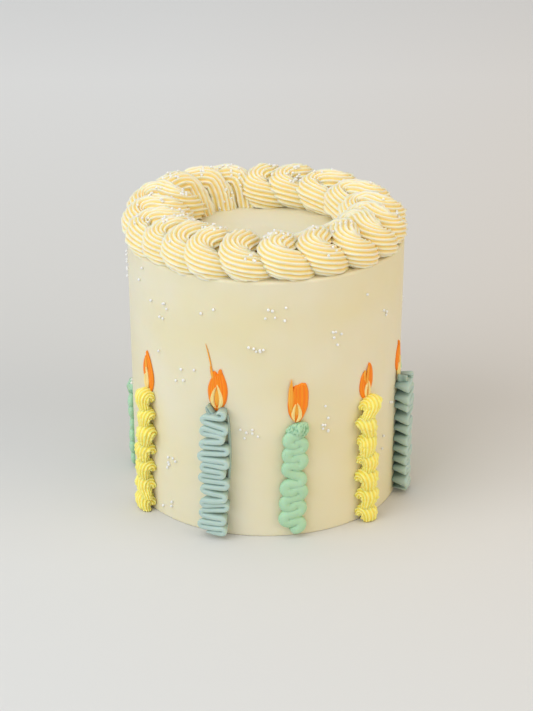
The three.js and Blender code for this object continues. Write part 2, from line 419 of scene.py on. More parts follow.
class Skin:
    """Closed shells gathered into one mesh, with a groove number for painted shade at each point."""

    def __init__(self) -> None:
        """Start empty."""
        self.points: list[np.ndarray] = []
        self.groove: list[np.ndarray] = []
        self.quads: list[np.ndarray] = []
        self.triangles: list[np.ndarray] = []
        self.count = 0

    def add_loops(self, loops: np.ndarray, groove: np.ndarray) -> None:
        """Add a tube of closed loops, closed at both ends by a fan about its middle.

        Point (i, j) joins (i, j + 1) round its loop and (i + 1, j) along the tube. The
        loops run anticlockwise seen from the side that the tube travels towards.

        Args:
            loops: points, rows by columns by 3.
            groove: groove number for painted shade, rows by columns.
        """
        rows, columns, _ = loops.shape
        ends = np.stack([loops[0].mean(axis=0), loops[-1].mean(axis=0)])
        self.points.append(np.concatenate([loops.reshape(-1, 3), ends]))
        middles = [groove[0].mean(keepdims=True), groove[-1].mean(keepdims=True)]
        self.groove.append(np.concatenate([groove.reshape(-1), *middles]))
        low = np.arange(rows - 1)[:, None] * columns + np.arange(columns)[None, :]
        turn = np.arange(rows - 1)[:, None] * columns + (np.arange(columns)[None, :] + 1) % columns
        quads = np.stack([low, turn, turn + columns, low + columns], axis=-1).reshape(-1, 4)
        around = np.arange(columns)
        after = (around + 1) % columns
        first = np.full(columns, rows * columns)
        last = first + 1
        top = (rows - 1) * columns
        first_fan = np.stack([first, after, around], -1)
        last_fan = np.stack([last, top + around, top + after], -1)
        fans = np.concatenate([first_fan, last_fan])
        self.quads.append(quads + self.count)
        self.triangles.append(fans + self.count)
        self.count += rows * columns + 2

    def add_shell(self, points: np.ndarray, triangles: np.ndarray, groove: float = 0.0) -> None:
        """Add a closed shell of triangles that all have one groove number."""
        self.points.append(points)
        self.groove.append(np.full(len(points), groove))
        self.triangles.append(triangles + self.count)
        self.count += len(points)

    def build(self, name: str, material: bpy.types.Material) -> bpy.types.Object:
        """Make the mesh object, smooth shaded, at the origin.

        Args:
            name: the object's name.
            material: its one material.

        Returns:
            The new object.
        """
        points = np.concatenate(self.points)
        quads = np.concatenate(self.quads) if self.quads else np.zeros((0, 4), int)
        triangles = np.concatenate(self.triangles) if self.triangles else np.zeros((0, 3), int)
        corners = np.concatenate([quads.reshape(-1), triangles.reshape(-1)]).astype(np.int32)
        totals = np.concatenate([np.full(len(quads), 4), np.full(len(triangles), 3)])
        starts = np.concatenate([[0], np.cumsum(totals)[:-1]]).astype(np.int32)
        mesh = bpy.data.meshes.new(name)
        mesh.vertices.add(len(points))
        mesh.vertices.foreach_set("co", points.astype(np.float32).reshape(-1))
        mesh.loops.add(len(corners))
        mesh.loops.foreach_set("vertex_index", corners)
        mesh.polygons.add(len(totals))
        mesh.polygons.foreach_set("loop_start", starts)
        mesh.polygons.foreach_set("use_smooth", np.ones(len(totals), bool))
        mesh.update(calc_edges=True)
        # the groove number sets how much painted shade the icing takes
        values = mesh.attributes.new("groove", "FLOAT", "POINT")
        values.data.foreach_set("value", np.concatenate(self.groove).astype(np.float32))
        mesh.materials.append(material)
        mesh.validate()
        piece = bpy.data.objects.new(name, mesh)
        bpy.context.scene.collection.objects.link(piece)
        return piece


def install(piece: bpy.types.Object, slot: str, *nodes: str) -> None:
    """Tie a piece to the cake's body, and hide the solids it stands for."""
    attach(piece, "root")
    if nodes:
        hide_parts(*nodes)
    log.info("%s: %d faces", piece.name, len(piece.data.polygons))


def wander(
    rng: np.random.Generator, at: np.ndarray, size: float, waves: int = 4, pace: float = 1.0
) -> np.ndarray:
    """A smooth random drift: a sum of a few sine waves of falling size.

    Args:
        rng: where the chances come from.
        at: places along the way, 0 to 1.
        size: the drift's rough size.
        waves: how many sine waves are added.
        pace: how many turns the slowest wave makes.

    Returns:
        The drift at each place.
    """
    total = np.zeros_like(at)
    for wave in range(1, waves + 1):
        total += np.sin(FULL_TURN * (pace * wave * at + rng.random())) * rng.uniform(0.5, 1.0) / wave
    return total * size * 0.6


def star_section(
    count: int, per_ridge: int, depth: float, rows: int, rng: np.random.Generator, torn: float = 0.16
) -> tuple[np.ndarray, np.ndarray, np.ndarray]:
    """Outline of icing pressed through a star tip, row after row along a strand.

    With t falling straight from 1 on a ridge to 0 in the groove beside it, the radius is
    1 - depth + depth * t ** 0.85 * size. Every ridge has a size of its own, and it
    wavers along the strand as icing tears at the tip's teeth.

    Args:
        count: how many ridges.
        per_ridge: points for each ridge.
        depth: groove depth as a share of the radius.
        rows: how many rows along the strand.
        rng: where the unevenness comes from.
        torn: how much a ridge's size wavers.

    Returns:
        The turn angles, then by row the radius factors and the groove numbers that
        set the painted groove shade, 0 on a ridge and 1 in a groove.
    """
    place = np.arange(count * per_ridge) / per_ridge
    index = np.round(place).astype(int) % count
    crest = 1.0 - 2.0 * np.abs(place - np.round(place))
    size = rng.uniform(0.75, 1.15, count)
    rough = rng.normal(0.0, 1.0, (rows + 4, count))
    rough = (rough[:-4] + 2.0 * rough[1:-3] + 3.0 * rough[2:-2] + 2.0 * rough[3:-1] + rough[4:]) / 4.4
    height = crest[None, :] ** 0.85 * (size[index][None, :] + torn * rough[:, index])
    # painted shade mask: 0 on a ridge, 1 deep in a groove, where shade falls
    groove = (1.0 - crest) ** 1.45
    return place / count * FULL_TURN, 1.0 - depth + depth * height, np.broadcast_to(groove, height.shape)


def unit(vectors: np.ndarray) -> np.ndarray:
    """Scale each vector to length 1."""
    return vectors / np.maximum(np.linalg.norm(vectors, axis=-1, keepdims=True), 1e-12)


def travel(path: np.ndarray) -> np.ndarray:
    """Direction of travel at each point of a path."""
    return unit(np.gradient(path, axis=0))


# ---------------------------------------------------------------------------
# The cake
# ---------------------------------------------------------------------------


@dataclass
class CakeShape:
    """The coated cake: a little narrower at the foot, with a soft top edge."""

    low: np.ndarray
    high: np.ndarray
    taper: float = 1.4 * MM
    top_edge: float = 1.5 * MM
    foot_edge: float = 0.8 * MM
    around: int = 240
    top_swell: float = 0.25 * MM
    foot_swell: float = 0.2 * MM
    scraper_wave: float = 0.12 * MM
    top_wave: float = 0.2 * MM

    @property
    def height(self) -> float:
        """Height of the flat top."""
        return float(self.high[2] - self.low[2])

    @property
    def top_radius(self) -> float:
        """Radius at the top, the widest place."""
        return float(self.high[0] - self.low[0]) / 2.0

    def wall(self, z: np.ndarray) -> np.ndarray:
        """Radius of the side at height z, straight from foot to top."""
        return self.top_radius - self.taper * (1.0 - np.asarray(z) / self.height)

    def on_wall(self, angle: float, across: np.ndarray, out: np.ndarray, z: np.ndarray) -> np.ndarray:
        """Points near the side.

        The angle round the cake is the given one plus across / wall radius, and the
        radius is the wall's plus out.

        Args:
            angle: where the piece stands, in degrees.
            across: distance along the wall to the right.
            out: distance out from the wall.
            z: height.

        Returns:
            The points, with the arrays' shape and a last axis of 3.
        """
        radius = self.wall(z)
        turn = math.radians(angle) + across / radius
        reach = radius + out
        return np.stack([reach * np.sin(turn), -reach * np.cos(turn), z + 0.0 * reach], axis=-1)

    def profile(self) -> np.ndarray:
        """The turned outline, from the middle of the base round to the middle of the top.

        Returns:
            Radius and height, one row for each point.
        """
        foot = np.stack([np.full(5, self.wall(0.0) - self.foot_edge), np.zeros(5)], -1)
        arc = np.linspace(-0.5 * math.pi, 0.0, 5)
        foot = foot + self.foot_edge * np.stack([np.cos(arc), 1.0 + np.sin(arc)], -1)
        side_z = np.linspace(self.foot_edge * 2, self.height - self.top_edge * 1.5, 60)
        side = np.stack([self.wall(side_z), side_z], -1)
        arc = np.linspace(0.0, 0.5 * math.pi, 9)
        middle = np.array([self.top_radius - self.top_edge, self.height - self.top_edge])
        edge = middle + self.top_edge * np.stack([np.cos(arc), np.sin(arc)], -1)
        top_r = np.linspace(self.top_radius - 2 * self.top_edge, 2 * MM, 40)
        top = np.stack([top_r, np.full(40, self.height)], -1)
        base_r = np.linspace(2 * MM, self.wall(0.0) - 3 * self.foot_edge, 10)
        base = np.stack([base_r, np.zeros(10)], -1)
        return np.concatenate([base, foot, side, edge, top])

    def build(self, pantry: Pantry) -> bpy.types.Object:
        """Make the coat: a turned profile whose side waves in and out by a hair.

        Round the cake the side swells by two wanders, one at the top and one at the
        foot, that fade into each other with height, and by a third one up its height.

        Returns:
            The cake's object.
        """
        rng = np.random.default_rng(11)
        turn = np.arange(self.around) / self.around
        outline = self.profile()
        radius, z = outline[:, :1], outline[:, 1:]
        rise = np.clip(z / self.height, 0.0, 1.0)
        at_top = wander(rng, turn, self.top_swell, 5)[None, :] * rise
        at_foot = wander(rng, turn, self.foot_swell, 3)[None, :] * (1.0 - rise)
        swell = at_top + at_foot + wander(rng, rise, self.scraper_wave, 4, 2.0)
        is_side = np.clip((radius - 0.8 * self.top_radius) / (0.2 * self.top_radius), 0.0, 1.0)
        reach = radius + swell * is_side
        on_top = (rise > 0.99) * (radius < 0.9 * self.top_radius)
        lift = wander(rng, radius / self.top_radius, self.top_wave, 4, 2.0) * on_top
        angle = turn[None, :] * FULL_TURN
        loops = np.stack([reach * np.cos(angle), reach * np.sin(angle), z + lift + 0.0 * angle], -1)
        skin = Skin()
        skin.add_loops(loops, np.zeros(loops.shape[:2]))
        piece = skin.build("cake_coat", pantry.get(SmoothedSide()))
        install(piece, "ivory_icing", "cake")
        return piece


# ---------------------------------------------------------------------------
# The rope border
# ---------------------------------------------------------------------------


@dataclass
class RopeBorder:
    """Strands piped one after another round the top edge, each a reversed S seen from above.

    Angles and headings are in degrees. A strand's place s runs from -1 at its outer foot
    through 0 on its crest to 1 at its inner foot.
    """

    cake: CakeShape
    start: float = -170.0
    widths: tuple[float, ...] = (
        18, 16, 20, 18, 16.5, 18.5, 13, 15, 13, 18.5,
        20, 19.8, 17.2, 17.5, 17, 18, 25, 25, 18, 16,
    )
    usual_width: float = 18.0
    ring_radius: float = 61.0 * MM
    thickness: float = 9.2 * MM
    reach: float = 30.0 * MM
    arm_height: float = 3.4 * MM
    crest_lift: float = 9.8 * MM
    crest_share: float = 0.52
    foot_drop: float = 2.6 * MM
    tail_draw: float = 2.6 * MM
    arm_swell: float = 0.7 * MM
    end_heading: float = 205.0
    crest_heading: float = 40.0
    turn_share: float = 0.41
    steeper: float = 30.0
    steepest_at: float = -65.0
    taller: float = 3.2 * MM
    tallest_at: float = -122.0
    tall_spread: float = 26.0
    arched: tuple[int, ...] = (1, 2, 3)
    arch_turn: float = 118.0
    arch_back: float = 6.5 * MM
    arch_reach: float = 10.5 * MM
    arch_drop: float = 20.0 * MM
    arch_spread: float = 8.0 * MM
    sunk: float = 7.0 * MM
    overhang: float = 1.8 * MM
    ridges: int = 18
    per_ridge: int = 7
    stations: int = 96
    depth: float = 0.2
    pieces: list[bpy.types.Object] = field(default_factory=list)

    def plan(
        self, s: np.ndarray, arched: bool, middle: float, width: float, rng: np.random.Generator
    ) -> tuple[np.ndarray, np.ndarray]:
        """The strand's path seen from above, an S laid by turning its heading.

        The heading is end_heading away from the crest and comes to the crest's heading on
        it, by exp(-(|s| / turn_share) ** 2.2). The crest's heading is crest_heading, and
        more by steeper * cos(angle from steepest_at) where that is above 0.

        Args:
            s: the stations.
            arched: whether the strand is an arched one.
            middle: angle of the strand's crest.
            width: the strand's share of the circle, in degrees.
            rng: where its unevenness comes from.

        Returns:
            Distances along the ring and inward, both 0 at the crest.
        """
        bend = np.exp(-((np.abs(s) / (self.turn_share * rng.uniform(0.92, 1.08))) ** 2.2))
        end = self.end_heading + rng.uniform(-7.0, 7.0)
        crest = self.crest_heading + rng.uniform(-8.0, 8.0)
        crest += self.steeper * max(0.0, math.cos(math.radians(middle - self.steepest_at)))
        if arched:
            crest += self.arch_turn
        heading = np.radians(end - (end - crest) * bend)
        step = (s[1] - s[0]) * self.reach * rng.uniform(0.96, 1.04)
        stretch = 1.2 * np.clip(width / self.usual_width, 0.85, 1.25)
        along = np.cumsum(np.cos(heading)) * step * stretch
        inward = np.cumsum(np.sin(heading)) * step
        half = self.stations // 2
        tail = self.tail_draw * np.clip((np.abs(s) - 0.4) / 0.6, 0.0, 1.0) ** 1.5
        swell = self.arm_swell * np.exp(-(((np.abs(s) - 0.33) / 0.2) ** 2))
        return along - along[half], inward - inward[half] + (swell - tail) * np.sign(s)

    def arch(
        self, s: np.ndarray, along: np.ndarray, inward: np.ndarray, lift: np.ndarray, fat: np.ndarray
    ) -> tuple[np.ndarray, np.ndarray, np.ndarray, np.ndarray]:
        """Lead a strand's inner half straight down inward, and spread its outer half.

        With f rising straight from 0 on the crest to 1 at s = 0.8, the inner half goes
        back by arch_back * sin(90 f), inward by arch_reach * f ** 1.35 and down by
        arch_drop * (1 - cos(90 f)). The outer half moves out by up to arch_spread.

        Args:
            s: the stations.
            along: distances along the ring.
            inward: distances inward.
            lift: heights over the cake's top.
            fat: the strand's fullness, 0 to 1.

        Returns:
            The four changed.
        """
        inner = s > 0.0
        quarter = 0.5 * math.pi * np.clip(s / 0.8, 0.0, 1.0)
        spread = self.arch_spread * np.sin(0.5 * math.pi * np.clip(-s / 0.5, 0.0, 1.0)) ** 1.5
        down = self.arch_drop * (1.0 - np.cos(quarter)) + 6.0 * MM * np.clip(s - 0.8, 0.0, 1.0)
        return (
            np.where(inner, -self.arch_back * np.sin(quarter), along),
            np.where(inner, self.arch_reach * np.clip(s / 0.8, 0.0, 1.0) ** 1.35, inward - spread),
            np.where(inner, self.arm_height + self.crest_lift - down, lift),
            np.where(inner, np.maximum(fat, 0.75), fat),
        )

    def middle_line(
        self, number: int, middle: float, width: float, rng: np.random.Generator
    ) -> tuple[np.ndarray, np.ndarray]:
        """The strand's middle line and its radius.

        Both arms lie low, half sunk in the cake's edge, and between them the strand climbs
        over its crest by crest_lift * exp(-(s / crest_share) ** 2). Crests stand higher
        by up to taller round the angle tallest_at.

        Args:
            number: the strand's place in the border.
            middle: angle of the strand's crest.
            width: the strand's share of the circle, in degrees.
            rng: where its unevenness comes from.

        Returns:
            Points along, out and up, one for each station, and the radius at each.
        """
        s = np.linspace(-1.0, 1.0, self.stations)
        arched = number in self.arched
        along, inward = self.plan(s, arched, middle, width, rng)
        hump = np.exp(-((s / self.crest_share) ** 2))
        lift = self.arm_height + (self.crest_lift + rng.uniform(-0.5, 0.4) * MM) * hump
        lift = lift - self.foot_drop * np.abs(s) ** 3 + wander(rng, (s + 1) / 2, 0.3 * MM, 3)
        fat = (1.0 - np.abs(s) ** 4.5) ** 0.6
        if arched:
            along, inward, lift, fat = self.arch(s, along, inward, lift, fat)
        tall = math.exp(-(((middle - self.tallest_at) / self.tall_spread) ** 2))
        size = (0.93 + 0.07 * min(width / self.usual_width, 1.2)) * (1.0 + 0.06 * tall)
        thick = self.thickness * size * (0.25 + 0.75 * fat) * (1.0 + wander(rng, (s + 1) / 2, 0.02, 3))
        top = self.cake.height + lift + self.taller * tall * hump
        path = np.stack([along, inward - self.ring_radius, top], -1)
        if arched:
            window = np.ones(15) / 15.0
            padded = np.pad(path, ((7, 7), (0, 0)), mode="reflect", reflect_type="odd")
            path = np.stack([np.convolve(padded[:, k], window, "valid") for k in range(3)], -1)
        return path, thick

    def bent_round(self, loops: np.ndarray, middle: float) -> np.ndarray:
        """Bend loops that were laid straight round the ring, and rest them on the cake.

        The angle is middle plus the distance along over the distance from the axis. A
        strand sinks into the cake's top by at most sunk, and hangs over its edge by at
        most overhang.

        Args:
            loops: points along, out and up.
            middle: angle of the strand's crest.

        Returns:
            The points in the cake's frame.
        """
        distance = -loops[..., 1]
        angle = math.radians(middle) + loops[..., 0] / np.maximum(distance, 30 * MM)
        beyond = np.clip((distance - self.cake.top_radius + 3.0 * MM) / (2.0 * MM), 0.0, 1.0)
        floor = self.cake.height - self.sunk + (self.sunk - self.overhang) * beyond
        z = np.maximum(loops[..., 2], floor)
        return np.stack([distance * np.sin(angle), -distance * np.cos(angle), z], -1)

    def strand(
        self, number: int, middle: float, width: float, rng: np.random.Generator
    ) -> tuple[np.ndarray, np.ndarray]:
        """One strand's loops: a star section carried along its middle line, slowly turning.

        Args:
            number: the strand's place in the border.
            middle: angle of the strand's crest.
            width: the strand's share of the circle, in degrees.
            rng: where its unevenness comes from.

        Returns:
            The loops and their groove numbers.
        """
        path, thick = self.middle_line(number, middle, width, rng)
        s = np.linspace(-1.0, 1.0, self.stations)
        forward = travel(path)
        side = unit(np.cross(forward, np.array([0.0, 0.0, 1.0])))
        upward = np.cross(side, forward)
        turn, radius, groove = star_section(self.ridges, self.per_ridge, self.depth, self.stations, rng)
        swirl = turn[None, :] + rng.uniform(0.0, FULL_TURN / self.ridges) + 0.5 * s[:, None]
        uneven = np.sin(3.0 * turn[None, :] + 7.0 * s[:, None] + rng.random() * 6.0)
        reach = thick[:, None] * radius * (1.0 + 0.02 * uneven)
        spoke = np.cos(swirl)[..., None] * side[:, None, :] + np.sin(swirl)[..., None] * upward[:, None, :]
        return self.bent_round(path[:, None, :] + reach[..., None] * spoke, middle), groove

    def build(self, pantry: Pantry) -> None:
        """Make every strand."""
        rng = np.random.default_rng(5)
        begin = self.start
        for number, width in enumerate(self.widths, start=1):
            loops, groove = self.strand(number, begin + width / 2.0, width, rng)
            skin = Skin()
            skin.add_loops(loops, groove)
            piece = skin.build(f"piped_strand_{number:02d}", pantry.get(Flavour.BORDER))
            install(piece, "cream_icing", f"border_strand_{number:02d}")
            self.pieces.append(piece)
            begin += width


# ---------------------------------------------------------------------------
# The flames
# ---------------------------------------------------------------------------


@dataclass(frozen=True)
class Smear:
    """One thin stroke of icing spread on the wall, from its foot to its tip.

    Its middle line goes through three places by a smooth curve, its half width grows to
    the belly and closes at both ends, and its back is flat on what it lies on.
    """

    foot: Pair
    belly: Pair
    tip: Pair
    half_width: float
    relief: float
    base: float = 0.05
    blunt: float = 0.5
    belly_at: float = 0.42

    def loops(self, cake: CakeShape, spot: "Spot", rng: np.random.Generator) -> tuple[np.ndarray, np.ndarray]:
        """The stroke's loops.

        The middle line is the parabola (1 - t) ** 2 * foot + 2 t (1 - t) * belly + t ** 2
        * tip. The half width is the product of a rise to the belly and a fall beyond it.
        Fine streaks run along it, as a knife leaves them, and their low lines take painted shade.

        Args:
            cake: the cake it lies on.
            spot: the candle that it belongs to.
            rng: where its unevenness comes from.

        Returns:
            The loops and their groove numbers.
        """
        t = np.linspace(0.0, 1.0, 40)
        origin = np.array([spot.lean, spot.height])
        points = [(origin + np.array(p)) * MM for p in (self.foot, self.belly, self.tip)]
        shares = np.stack([(1 - t) ** 2, 2 * t * (1 - t), t ** 2], -1)
        line = shares @ np.stack(points)
        grow = np.clip(t / self.belly_at, 0.0, 1.0)
        fall = np.clip((1.0 - t) / (1.0 - self.belly_at), 0.0, 1.0)
        wide = np.sin(0.5 * math.pi * grow) ** 0.8 * np.sin(0.5 * math.pi * fall) ** self.blunt
        wide = np.maximum(wide, 0.04) * self.half_width * MM * (1.0 + wander(rng, t, 0.05, 4, 1.5))
        forward = travel(line)
        left = np.stack([-forward[:, 1], forward[:, 0]], -1) * wide[:, None]
        share = np.linspace(-1.0, 1.0, 15)
        streak = 0.5 + 0.5 * np.sin(share[None, :] * 9.0 + rng.random() * 6.0 + 1.5 * t[:, None])
        crown = (1.0 - share[None, :] ** 4) * (0.72 + 0.28 * streak)
        crown = crown * np.minimum(1.0, wide[:, None] / (0.25 * self.half_width * MM))
        back = np.full(crown.shape, 0.5 * self.base * MM)
        out = np.concatenate([(self.base + self.relief * crown) * MM, back], 1)
        around = np.concatenate([share, 0.97 * share[::-1]])
        place = line[:, None, :] - left[:, None, :] * around[None, :, None]
        # painted shade: the streaks' low lines and the back against the wall take the groove colour
        groove = 0.7 * np.concatenate([1.0 - streak, np.ones_like(back)], 1)
        loops = cake.on_wall(spot.angle, place[..., 0], out, place[..., 1])
        return loops[:, ::-1], groove[:, ::-1]


@dataclass(frozen=True)
class FlameStyle:
    """The strokes of one flame, in millimetres from the middle of its candle's top."""

    orange: tuple[Smear, ...]
    amber: tuple[Smear, ...]
    heart: tuple[Smear, ...]


class FlameLook(Enum):
    """The different ways the flames were spread."""

    BROAD = FlameStyle(
        (Smear((0.0, -3.0), (-2.6, 6.0), (-2.2, 17.0), 3.4, 1.2),
         Smear((0.2, -3.0), (3.4, 8.0), (2.6, 21.0), 3.9, 1.4, blunt=0.22, belly_at=0.5),
         Smear((0.0, -2.6), (-0.2, 7.0), (-0.4, 20.0), 4.2, 1.1, blunt=0.35)),
        (Smear((-3.4, 4.0), (-4.2, 13.0), (-3.2, 24.0), 1.5, 0.6, 1.0, 0.9, 0.45),
         Smear((-0.3, 2.0), (-0.5, 5.0), (-0.6, 9.0), 1.3, 0.3, 1.2)),
        (Smear((-1.4, -1.6), (-3.6, 3.0), (-1.0, 9.2), 0.95, 0.9, 1.2),
         Smear((-1.0, -1.6), (3.6, 0.6), (-0.2, 9.6), 1.1, 0.9, 1.2)),
    )
    TWIN = FlameStyle(
        (Smear((0.0, -3.4), (-5.2, 6.0), (-1.8, 17.5), 2.8, 1.2),
         Smear((0.0, -3.4), (5.4, 6.5), (1.4, 21.0), 2.8, 1.3, blunt=0.4),
         Smear((0.0, 2.0), (-0.6, 10.0), (-1.6, 20.5), 3.2, 1.1),
         Smear((0.6, 8.0), (1.2, 13.0), (0.6, 19.5), 2.4, 1.1),
         Smear((1.6, 18.6), (1.9, 20.2), (1.8, 22.0), 1.2, 1.1, 0.3, 0.4)),
        (Smear((-2.0, 15.0), (-2.8, 19.0), (-4.0, 23.0), 0.9, 0.5, 0.7, 0.9),
         Smear((-3.0, 19.0), (-3.6, 26.0), (-6.6, 36.0), 0.4, 0.25, 0.4, 0.7),
         Smear((0.0, 0.0), (-0.3, 5.0), (0.2, 10.5), 1.3, 0.3, 1.0)),
        (Smear((-0.4, -1.2), (-5.0, 2.2), (-0.5, 11.4), 1.15, 0.9, 1.1),
         Smear((0.2, -1.2), (4.6, 1.8), (0.1, 13.0), 1.25, 0.9, 1.1)),
    )
    TALL = FlameStyle(
        (Smear((-3.4, 3.0), (-6.4, 10.0), (-2.2, 18.6), 2.1, 1.1),
         Smear((1.2, -3.0), (4.2, 7.0), (-2.0, 21.5), 2.4, 1.2, blunt=0.5)),
        (Smear((-1.2, 3.0), (-2.2, 11.0), (-1.8, 18.0), 1.0, 0.5, 0.9),),
        (Smear((-1.0, -2.0), (-4.6, 3.0), (-2.0, 8.0), 1.2, 0.9, 1.0),
         Smear((-0.6, -2.0), (0.2, 5.0), (-1.4, 12.0), 0.9, 0.7, 1.2)),
    )
    FORKED = FlameStyle(
        (Smear((1.4, -3.4), (-3.6, 4.0), (-0.6, 14.0), 2.4, 1.1),
         Smear((2.2, 0.0), (6.0, 8.0), (3.2, 18.6), 2.4, 1.2, blunt=0.45),
         Smear((1.6, -3.0), (1.6, 4.0), (1.6, 13.0), 2.6, 0.9)),
        (Smear((1.6, 2.0), (0.4, 9.0), (2.4, 17.4), 1.0, 0.6, 1.0, 0.8),
         Smear((-0.4, 8.0), (-1.2, 12.0), (-0.2, 15.0), 0.8, 0.5, 0.9)),
        (Smear((1.4, -2.4), (-1.2, 1.6), (1.2, 7.4), 0.9, 0.9, 1.0),
         Smear((1.8, -2.4), (4.2, 1.0), (1.8, 8.6), 1.1, 0.9, 1.0)),
    )


# ---------------------------------------------------------------------------
# The candles
# ---------------------------------------------------------------------------


@dataclass(frozen=True)
class Spot:
    """Where a candle stands, how high it is, how far it leans to the right, and its flame."""

    angle: float
    height: float
    lean: float
    flame: FlameLook


@dataclass
class ShellCandle:
    """Yellow candle: star-tip shells, each over the tail of the one above."""

    cake: CakeShape
    number: int
    spot: Spot
    shells: int = 7
    width: float = 6.1 * MM
    depth_out: float = 4.3 * MM
    curl_at: float = 0.34
    curl_softness: float = 0.075
    tail_loss: float = 0.4
    ridges: int = 14
    per_ridge: int = 7
    groove_depth: float = 0.2

    def shell(self, top: float, pitch: float, rng: np.random.Generator) -> tuple[np.ndarray, np.ndarray]:
        """One shell's loops.

        The path climbs a little against the wall, curls outward and over, and runs down
        to a tail. Its heading falls from straight up to straight down past the curl, as a
        smooth step at curl_at. It leans by a slant and swings aside by a hook, both by
        chance. The section is a star, wider across the wall than it stands out from it.

        Args:
            top: height of the shell's top.
            pitch: height of one shell.
            rng: where its unevenness comes from.

        Returns:
            The loops and their groove numbers.
        """
        s = np.linspace(0.0, 1.0, 56)
        heading = np.radians(98.0 - 196.0 / (1.0 + np.exp(-(s - self.curl_at) / self.curl_softness)))
        step = (s[1] - s[0]) * 1.6 * pitch
        out = np.cumsum(np.cos(heading)) * step
        rise = np.cumsum(np.sin(heading)) * step
        body = np.clip(np.sin(math.pi * np.clip(s / 0.4, 0.0, 0.5)), 0.0, 1.0) ** 0.5
        tail = 1.0 - self.tail_loss * np.clip((s - 0.45) / 0.55, 0.0, 1.0) ** 1.1
        close = np.clip((1.0 - s) / 0.06, 0.0, 1.0) ** 0.5
        size = (0.08 + 0.92 * body) * tail * np.maximum(close, 0.05) * rng.uniform(0.9, 1.08)
        slant = rng.uniform(-0.34, 0.34)
        hook = rng.choice([-1.0, 1.0]) * rng.uniform(0.6, 1.9) * MM
        drop = top - self.depth_out * 0.93 - rise.max() + rise
        aside = slant * (rise - rise.mean()) + hook * np.sin(math.pi * s) ** 2
        path = np.stack([aside, 1.2 * MM + out, drop], -1)
        forward = travel(path)
        across = np.broadcast_to(np.array([1.0, 0.0, 0.0]), path.shape)
        normal = np.cross(forward, across)
        turn, radius, groove = star_section(self.ridges, self.per_ridge, self.groove_depth, len(s), rng, 0.3)
        swirl = turn[None, :] + rng.uniform(0.0, 0.5)
        reach = size[:, None] * radius
        wide = (self.width * reach * np.cos(swirl))[..., None] * across[:, None, :]
        deep = (self.depth_out * reach * np.sin(swirl))[..., None] * normal[:, None, :]
        loops = path[:, None, :] + wide + deep
        return loops[:, ::-1], groove[:, ::-1]

    def build(self, pantry: Pantry) -> bpy.types.Object:
        """Make the candle from its shells."""
        rng = np.random.default_rng(100 + self.number)
        skin = Skin()
        pitch = self.spot.height * MM / self.shells
        for order in range(self.shells):
            top = self.spot.height * MM - pitch * order
            loops, groove = self.shell(top, pitch, rng)
            sway = (rng.uniform(-0.4, 0.4) + self.spot.lean * top / (self.spot.height * MM)) * MM
            out = np.maximum(loops[..., 1], 0.05 * MM)
            z = np.maximum(loops[..., 2], 0.4 * MM)
            skin.add_loops(self.cake.on_wall(self.spot.angle, loops[..., 0] + sway, out, z), groove)
        piece = skin.build(f"shell_candle_{self.number:02d}", pantry.get(Flavour.YELLOW))
        install(piece, "yellow_icing", f"candle_yellow_{self.number:02d}")
        return piece


@dataclass(frozen=True)
class FoldedPath:
    """A path folded from side to side up the wall, its turns round like hairpins."""

    height: float
    folds: float
    half_width: float
    turn_radius: float
    foot: float
    curl: float = 40.0

    def points(self, rng: np.random.Generator, sway: float) -> np.ndarray:
        """Places along the path.

        Turn number i is an arc round (side * reach, foot + i * rise), left and right in
        turn. Two turns are joined by the straight line that touches both on opposite
        sides: its direction is the line of centres turned by acos(2 * radius / distance).

        Args:
            rng: where the unevenness comes from.
            sway: how far turns stray sideways.

        Returns:
            Points, one row each: across, up.
        """
        turns = int(round(self.folds * 2)) + 1
        rise = (self.height - 2.0 * self.foot) / (turns - 1)
        side = np.where(np.arange(turns) % 2 == 0, -1.0, 1.0)
        reach = self.half_width - self.turn_radius
        centre = np.stack([side * reach, self.foot + rise * np.arange(turns)], -1)
        centre[:, 0] += rng.uniform(-sway, sway, turns)
        centre[:, 1] += rng.uniform(-0.3, 0.3, turns) * rise
        span = np.diff(centre, axis=0)
        length = np.linalg.norm(span, axis=1)
        tilt = np.arccos(np.clip(2.0 * self.turn_radius / length, -1.0, 1.0)) * -side[:-1]
        base = np.arctan2(span[:, 1], span[:, 0]) + tilt
        pieces = []
        for i in range(1, turns - 1):
            arrive = base[i - 1] + math.pi
            leave = base[i]
            sweep = (leave - arrive) * side[i] % FULL_TURN
            arc = arrive + side[i] * np.linspace(0.0, sweep, 14)
            pieces.append(centre[i] + self.turn_radius * np.stack([np.cos(arc), np.sin(arc)], -1))
        first = centre[0] + self.turn_radius * np.array([math.cos(base[0]), math.sin(base[0])])
        arrive = base[-1] + math.pi
        arc = arrive + side[-1] * np.linspace(0.0, math.radians(self.curl), 16)
        grow = np.linspace(1.0, 1.35, 16)[:, None]
        pieces.append(centre[-1] + self.turn_radius * grow * np.stack([np.cos(arc), np.sin(arc)], -1))
        route = np.concatenate([first[None], *pieces])
        gaps = np.linalg.norm(np.diff(route, axis=0), axis=1)
        mark = np.concatenate([[0.0], np.cumsum(gaps)])
        even = np.linspace(0.0, mark[-1], int(mark[-1] / (0.55 * MM)))
        return np.stack([np.interp(even, mark, route[:, k]) for k in (0, 1)], -1)


